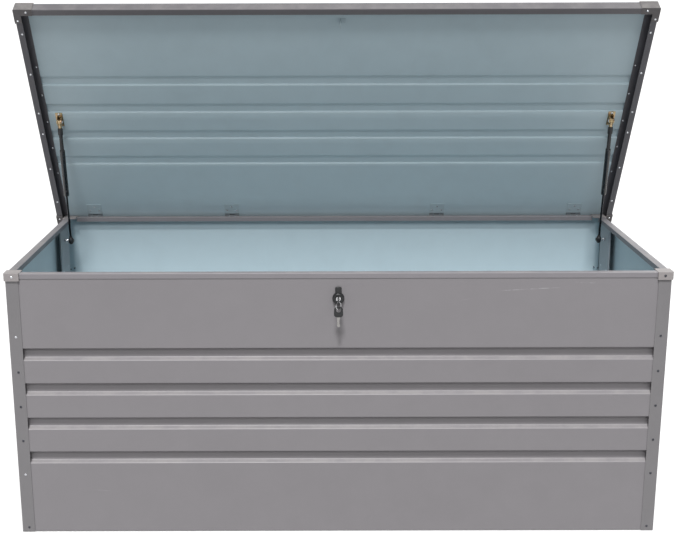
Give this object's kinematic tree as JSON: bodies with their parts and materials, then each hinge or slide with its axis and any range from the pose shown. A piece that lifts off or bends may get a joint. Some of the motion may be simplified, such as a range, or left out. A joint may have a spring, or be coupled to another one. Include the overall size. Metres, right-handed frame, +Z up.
{
  "type": "deck storage box",
  "caption": "Long ribbed sheet-steel deck storage box whose hinged lid stands open on gas struts, with corner posts, plastic corner caps and a front cam lock with keys.",
  "frame": {"origin": "centre of the box's footprint, on the ground, at the middle of the floor support's flat underside", "axes": "+X to the right along the length, -Y out of the lock side, +Z up"},
  "size_m": [1.6988, 0.7662, 1.3429],
  "materials": {
    "grey_paint": "satin powder coat with light wear",
    "lid_paint": "satin powder coat, cooler grey",
    "floor_zinc": "dull galvanised sheet",
    "cap_plastic": "warm light grey moulded plastic",
    "black_plastic": "black moulded plastic",
    "black_steel": "smooth black",
    "bright_steel": "nickel plated",
    "zinc_steel": "bright zinc plated",
    "yellow_zinc": "yellow zinc plated"
  },
  "bodies": {
    "box": {"front_panel": "grey_paint", "rear_panel": "grey_paint", "left_panel": "grey_paint", "right_panel": "grey_paint", "post_front_left": "grey_paint", "post_front_right": "grey_paint", "post_rear_left": "grey_paint", "post_rear_right": "grey_paint", "top_rail_front": "grey_paint", "top_rail_rear": "grey_paint", "top_rail_left": "grey_paint", "top_rail_right": "grey_paint", "bottom_rail_front": "grey_paint", "bottom_rail_rear": "grey_paint", "bottom_rail_left": "grey_paint", "bottom_rail_right": "grey_paint", "strut_plate_left": "grey_paint", "strut_plate_right": "grey_paint", "floor_panel": "floor_zinc", "cap_front_left": "cap_plastic", "cap_front_right": "cap_plastic", "cap_rear_left": "cap_plastic", "cap_rear_right": "cap_plastic", "lock_housing": "black_plastic", "ball_stud_left": "bright_steel", "ball_stud_right": "bright_steel", "floor_support": "zinc_steel", "hinge_base_1": "zinc_steel", "hinge_base_2": "zinc_steel", "hinge_base_3": "zinc_steel", "hinge_base_4": "zinc_steel", "lock_nut": "zinc_steel"},
    "lid": {"lid_panel": "lid_paint", "lid_rail_front": "grey_paint", "lid_rail_rear": "grey_paint", "lid_rail_left": "grey_paint", "lid_rail_right": "grey_paint", "lid_cap_front_left": "cap_plastic", "lid_cap_front_right": "cap_plastic", "lid_cap_rear_left": "cap_plastic", "lid_cap_rear_right": "cap_plastic", "hinge_leaf_1": "zinc_steel", "hinge_leaf_2": "zinc_steel", "hinge_leaf_3": "zinc_steel", "hinge_leaf_4": "zinc_steel", "strut_bracket_left": "yellow_zinc", "strut_bracket_right": "yellow_zinc", "lid_striker": "zinc_steel"},
    "strut_tube_left": {"strut_tube_left": "black_steel"},
    "strut_tube_right": {"strut_tube_right": "black_steel"},
    "strut_rod_left": {"strut_rod_left": "black_steel", "strut_socket_left": "black_plastic"},
    "strut_rod_right": {"strut_rod_right": "black_steel", "strut_socket_right": "black_plastic"},
    "lock_barrel": {"lock_barrel": "bright_steel", "lock_cam": "zinc_steel"},
    "key": {"key": "black_plastic"},
    "key_ring": {"key_ring": "bright_steel"},
    "spare_key": {"spare_key": "black_plastic"}
  },
  "joints": [
    {"name": "lid_hinge", "type": "hinge", "parent": "box", "child": "lid", "pos_m": [0, 0.359, 0.696], "axis": [1, 0, 0], "range_deg": [0, 60.8]},
    {"name": "strut_pivot_left", "type": "hinge", "parent": "lid", "child": "strut_tube_left", "pos_m": [-0.788, 0.17388, 1.00838], "axis": [1, 0, 0], "range_deg": [0, 10.04]},
    {"name": "strut_slide_left", "type": "slide", "parent": "strut_tube_left", "child": "strut_rod_left", "axis": [0, -0.1694, 0.9855], "range_m": [0, 0.12345]},
    {"name": "strut_pivot_right", "type": "hinge", "parent": "lid", "child": "strut_tube_right", "pos_m": [0.788, 0.17388, 1.00838], "axis": [1, 0, 0], "range_deg": [0, 10.04]},
    {"name": "strut_slide_right", "type": "slide", "parent": "strut_tube_right", "child": "strut_rod_right", "axis": [0, -0.1694, 0.9855], "range_m": [0, 0.12345]},
    {"name": "lock_turn", "type": "hinge", "parent": "box", "child": "lock_barrel", "pos_m": [0, -0.354, 0.633], "axis": [0, 1, 0], "range_deg": [0, 90]},
    {"name": "key_slide", "type": "slide", "parent": "lock_barrel", "child": "key", "axis": [0, -1, 0], "range_m": [0, 0.024]},
    {"name": "ring_swing", "type": "hinge", "parent": "key", "child": "key_ring", "pos_m": [0, -0.383, 0.63], "axis": [1, 0, 0], "range_deg": [-30, 24]},
    {"name": "spare_key_swing", "type": "hinge", "parent": "key_ring", "child": "spare_key", "pos_m": [0, -0.383, 0.6128], "axis": [0, 1, 0], "range_deg": [-14, 14]}
  ],
  "couplings": [
    {"joint": "strut_pivot_left", "follows": "lid_hinge", "ratio": 0.16497},
    {"joint": "strut_slide_left", "follows": "lid_hinge", "m_per_rad": 0.11629},
    {"joint": "strut_pivot_right", "follows": "lid_hinge", "ratio": 0.16497},
    {"joint": "strut_slide_right", "follows": "lid_hinge", "m_per_rad": 0.11629}
  ]
}
